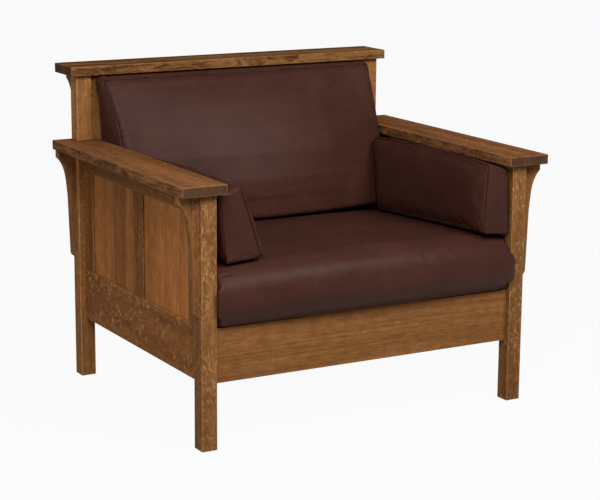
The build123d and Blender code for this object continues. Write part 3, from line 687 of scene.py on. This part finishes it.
rooms = {"seat_cushion": seat_room, "back_cushion": back_room,
         "bolster_right": bolster_room, "bolster_left": bolster_room}
clearance = 0.3 * mm
blown = inflate(cushions, pressure=4.0)
for piece in cushions:
    base, facing, edges = points_of(piece.data), normals_of(piece.data), edges_of(piece.data)
    facing = unit(relaxed(facing, edges, 2))
    skin = outside_of(rides[piece.name] + "_cover", base, facing) - facing * clearance
    cap = rooms[piece.name](base, facing)
    if piece.name in blown:
        skin = capped(skin, skin + blown[piece.name] - base, facing, edges, cap)
    else:
        skin = skin + facing * cap[:, None]
    put_points(piece.data, faired(relaxed(skin, edges, 1), edges))


for piece in cushions:
    subdivided(piece)

right_spread, left_spread = 14 * mm, 9 * mm
nose_foot, nose_top = 0.305, 0.45


def spread(points):
    """The seat's nose spreads sideways ahead of the legs' faces, between its foot and its top."""
    out = between(np.abs(points[:, 0]), leg_inner - 70 * mm, leg_inner)
    ahead = between(leg_front - 0.5 * mm - points[:, 1], 0, 7 * mm)
    height = between(points[:, 2] - nose_foot, 0, 0.04) * between(nose_top - points[:, 2], 0, 0.035)
    shift = np.where(points[:, 0] > 0, right_spread, -left_spread) * out * ahead * height
    return points + np.stack([shift, 0 * shift, 0 * shift], 1)


# The back cushion's front seam, as depths ahead of the back panels, bows and heights
back_half, back_top = 0.421, 0.852
foot_depth, top_depth = 0.2, 0.06
side_bow, foot_bow, top_bow = 0.033, 0.075, 0.008
foot_tuck = 16 * mm


def back_outline(gap):
    """Front seam of the back cushion: up both sides, across the top and along the foot.

    Each side leans back in a line with a parabola's bow on it; the top and the foot bow
    forwards, the most in the middle, as one less the square of the share across.
    """
    tree = surface_tree(back)
    share = np.linspace(0.03, 0.975, 120)
    depth = foot_depth + (top_depth - foot_depth) * share + side_bow * 4 * share * (1 - share)
    front = back_face - depth
    foot = deck_height - (front - deck_start) * math.tan(deck_rake)
    foot = foot + seat_thickness / math.cos(deck_rake)
    height = foot + (back_top - foot) * share
    beside, over, under = 0.6, 0.95, 0.3
    side = np.stack([np.full(len(share), beside), front + gap, height], 1)
    right = hits_along(tree, side, (-1, 0, 0))
    left = hits_along(tree, side * (-1, 1, 1), (1, 0, 0))
    x = np.linspace(-1, 1, 160)
    level = np.ones(len(x))
    top_front = back_face - top_depth - top_bow * (1 - x ** 2) + gap
    foot_front = back_face - foot_depth - foot_bow * (1 - x ** 2) + foot_tuck
    top = hits_along(tree, np.stack([x * back_half, top_front, over * level], 1), (0, 0, -1))
    low = hits_along(tree, np.stack([x * back_half, foot_front, under * level], 1), (0, 0, 1))
    return np.vstack([right, top[::-1], left[::-1], low])


seams = {}
tree = surface_tree(seat)
low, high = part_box("seat_cushion_core")
seat_middle = (low + high) / 2
seat_seam = leg_inner - 6 * mm
seat_seam_height = 0.375
seams["seat_cushion"] = []
for way in (-1, 1):
    centre = (way * seat_seam, seat_middle.y, seat_seam_height)
    seams["seat_cushion"].append(spread(loop_round(tree, centre, (0, 1, 0), (0, 0, 1), 1600)))
put_points(seat.data, spread(points_of(seat.data)))
back_middle = (0, back_face - 6 * mm, 0.65)
rear_seam = loop_round(surface_tree(back), back_middle, (1, 0, 0), (0, 0, 1), 1200)
seams["back_cushion"] = [back_outline(2.5 * mm), rear_seam]

# A bolster's two seams lie in leaning planes; their distances from the middle of the chair
# are given at the foot and at the top, inside and outside
inner_shift, outer_shift = 1.0 * mm, -2.0 * mm
for piece, core, inner, outer in (
        (bolster_right, "right_bolster_core", (0.351, 0.365), (0.440, 0.432)),
        (bolster_left, "left_bolster_core", (0.293, 0.363), (0.403, 0.424))):
    tree = surface_tree(piece)
    points = points_of(nodes[core].data)
    low, high = points.min(0), points.max(0)
    middle = (low + high) / 2
    way = np.sign(middle[0])
    seams[piece.name] = []
    for (foot_x, top_x), shift in ((inner, inner_shift), (outer, outer_shift)):
        lean = unit(np.array([[way * (top_x - foot_x), 0, high[2] - low[2]]]))[0]
        centre = (way * ((foot_x + top_x) / 2 + shift), middle[1], middle[2])
        seams[piece.name].append(loop_round(tree, centre, (0, 1, 0), lean))

# How deep the seams are drawn in
sinks = {"seat_cushion": 1.5 * mm, "back_cushion": 7 * mm,
         "bolster_right": 2.5 * mm, "bolster_left": 2.5 * mm}
path_step = 2.5 * mm
for piece in cushions:
    paths = [evened(loop, path_step, 4) for loop in seams[piece.name]]
    sewn(piece, paths, Y if piece is back else X, sinks[piece.name])
    # the dark cord along the seams: thread, and painted shade of their folds
    sewing = seam_shade_cord(piece.name + "_seam_shade_cord", paths, surface_tree(piece))
    body = rides[piece.name]
    for part in (piece, sewing):
        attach(part, body)
    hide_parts(body + "_cover", body + "_core")


# Floor, light and camera

def seen_white(tree, shader, share):
    """Shown partly as plain white to the camera, in mirrors and through glass."""
    path = add(tree, "LightPath")
    ways = path["Is Camera Ray"]
    for kind in ("Is Glossy Ray", "Is Transmission Ray"):
        ways = add(tree, "Math", {0: ways, 1: path[kind]}, operation="MAXIMUM")[0]
    factor = add(tree, "Math", {0: ways, 1: share}, operation="MULTIPLY")[0]
    glow = add(tree, "Emission", {"Color": linear("#FFFFFF"), "Strength": 1.0})
    return add(tree, "MixShader", {0: factor, 1: shader, 2: glow[0]})


floor_half = 40.0
floor_paint, tree = start("matt_pale_grey_floor")
# rolled paint, mottled over about 17 mm
grit = add(tree, "TexNoise", {"Vector": add(tree, "TexCoord")["Object"], "Scale": 60})["Fac"]
tint = add(tree, "ValToRGB", {0: grit}, ((0.3, "#A6A6A4"), (0.7, "#ACACAA")))[0]
plain = add(tree, "BsdfDiffuse", {"Color": tint})
add(tree, "OutputMaterial", {"Surface": seen_white(tree, plain[0], 0.95)[0]})
corners = floor_half * np.array([[-1, -1, 0], [1, -1, 0], [1, 1, 0], [-1, 1, 0]])
floor = mesh_piece("studio_floor", corners, np.array([[0, 1, 2, 3]]), floor_paint)

world = bpy.data.worlds.new("studio")
scene.world = world
world.use_nodes = True
tree = world.node_tree
tree.nodes.clear()
sky = add(tree, "Background", {"Color": linear("#FFFFFF"), "Strength": 0.1})
add(tree, "OutputWorld", {"Surface": sky[0]})


soft_box_side = 1.6
chair_middle = Vector((0, 0, 0.5))


def lamp(name, place, power):
    """Square soft box that looks at the middle of the chair."""
    data = bpy.data.lights.new(name, "AREA")
    data.shape = "SQUARE"
    data.size = soft_box_side
    data.energy = power
    made = bpy.data.objects.new(name, data)
    made.location = place
    made.rotation_euler = (chair_middle - Vector(place)).to_track_quat("-Z", "Y").to_euler()
    scene.collection.objects.link(made)


lamp("right_box", (1.2, -2.5, 3.4), 80)
lamp("left_box", (-1.4, -2.75, 3.0), 86)
lamp("side_box", (-3.6, -0.8, 1.6), 23)

# Camera from the lines of the photograph: its place, its turns in radians and its lens in mm
camera_place = (-2.4071, -4.3026, 1.4770)
turn, dip, roll = 0.515, 0.218, 0.007
lens, film_width = 109.69, 36
ahead = Vector((math.sin(turn) * math.cos(dip), math.cos(turn) * math.cos(dip), -math.sin(dip)))
right = Vector((math.cos(turn), -math.sin(turn), 0))
upward = right.cross(ahead)
across = right * math.cos(roll) + upward * math.sin(roll)
above = upward * math.cos(roll) - right * math.sin(roll)
camera_data = bpy.data.cameras.new("camera")
camera_data.lens = lens
camera_data.sensor_width = film_width
camera = bpy.data.objects.new("camera", camera_data)
scene.collection.objects.link(camera)
view = Matrix((across, above, -ahead)).transposed().to_4x4()
view.translation = camera_place
camera.matrix_world = view
scene.camera = camera
scene.view_settings.view_transform = "Standard"
